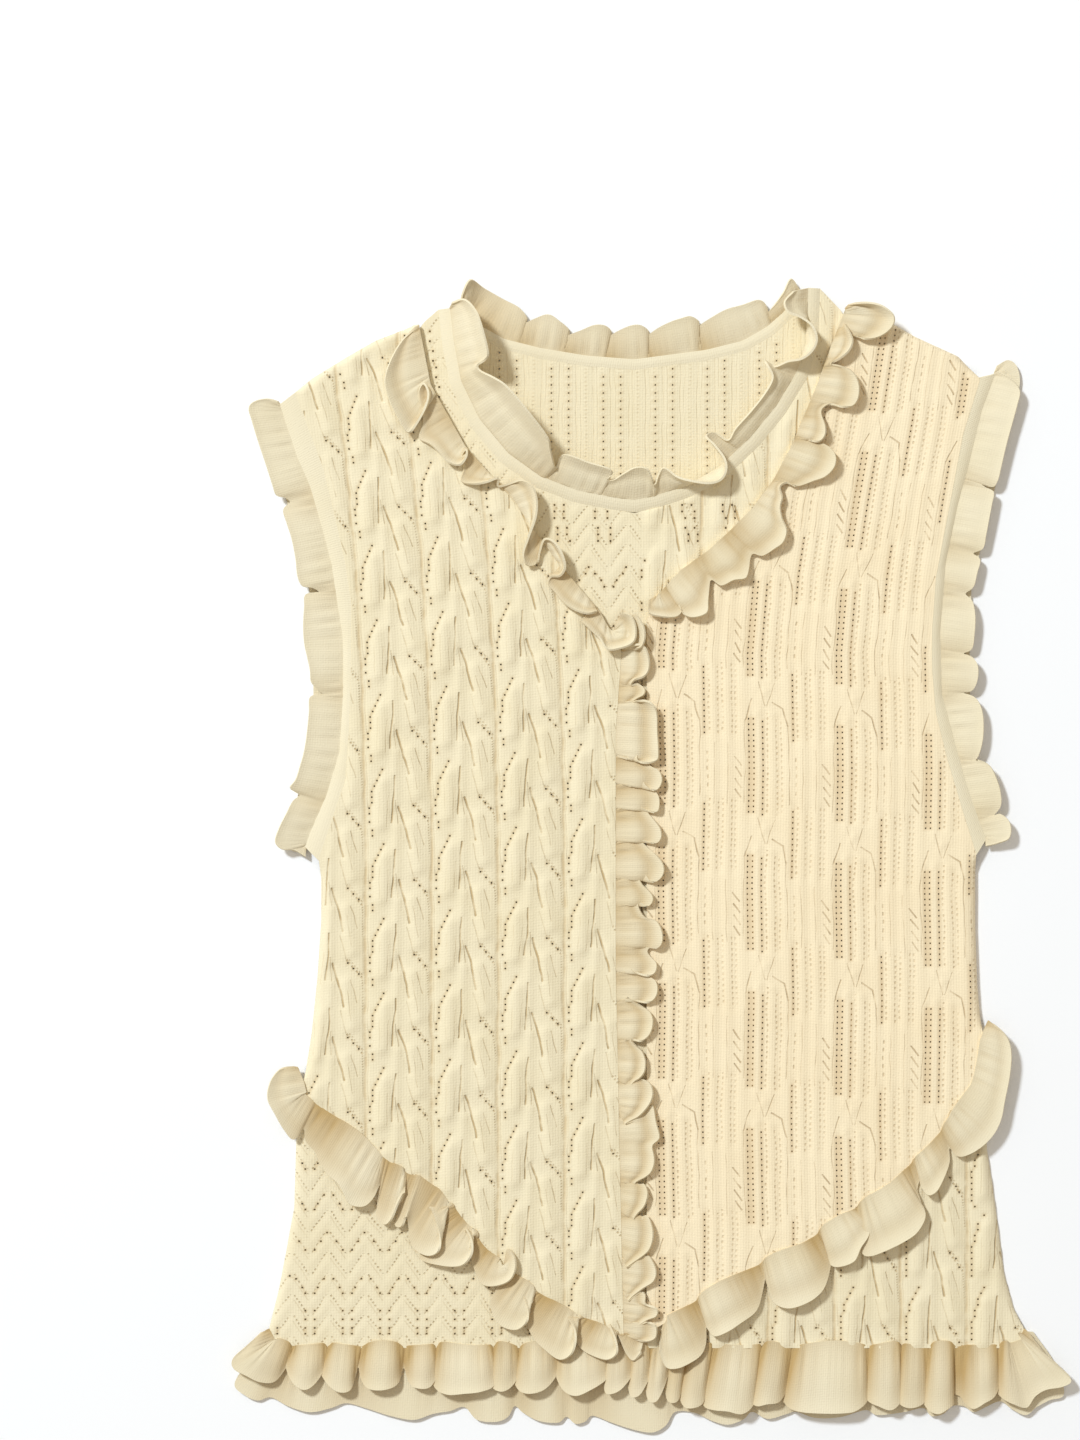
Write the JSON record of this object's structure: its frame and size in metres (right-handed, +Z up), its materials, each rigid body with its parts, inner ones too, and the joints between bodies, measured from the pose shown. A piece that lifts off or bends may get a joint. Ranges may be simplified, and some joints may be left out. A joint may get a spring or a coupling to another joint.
{
  "type": "knit top",
  "caption": "Sleeveless two-in-one ruffled lace-knit top, lying flat: a round-necked inner layer under V-necked outer fronts with curved hems.",
  "frame": {"origin": "centre of the bounding box's bottom, on the surface that the top lies on", "axes": "+X to the right of somebody who looks down at its front, which is the wearer's left; +Y from the hem to the neck; +Z up, out of the surface"},
  "size_m": [0.4399, 0.5959, 0.018],
  "materials": {
    "lace_knit": "matte cream lace knit with small holes",
    "smooth_knit": "matte cream fine plain knit"
  },
  "bodies": {
    "root": {"back_panel": "lace_knit", "inner_front": "lace_knit", "right_front": "lace_knit", "left_front": "lace_knit", "neck_band_front": "smooth_knit", "neck_band_back": "smooth_knit", "neck_ruffle_front": "smooth_knit", "neck_ruffle_back": "smooth_knit", "v_ruffle_right": "smooth_knit", "v_ruffle_left": "smooth_knit", "centre_ruffle": "smooth_knit", "curved_hem_ruffle_right": "smooth_knit", "curved_hem_ruffle_left": "smooth_knit", "hem_ruffle_front": "smooth_knit", "hem_ruffle_back": "smooth_knit", "armhole_band_front_right": "smooth_knit", "armhole_band_front_left": "smooth_knit", "armhole_band_back_right": "smooth_knit", "armhole_band_back_left": "smooth_knit", "armhole_ruffle_front_right": "smooth_knit", "armhole_ruffle_front_left": "smooth_knit", "armhole_ruffle_back_right": "smooth_knit", "armhole_ruffle_back_left": "smooth_knit"}
  },
  "joints": []
}
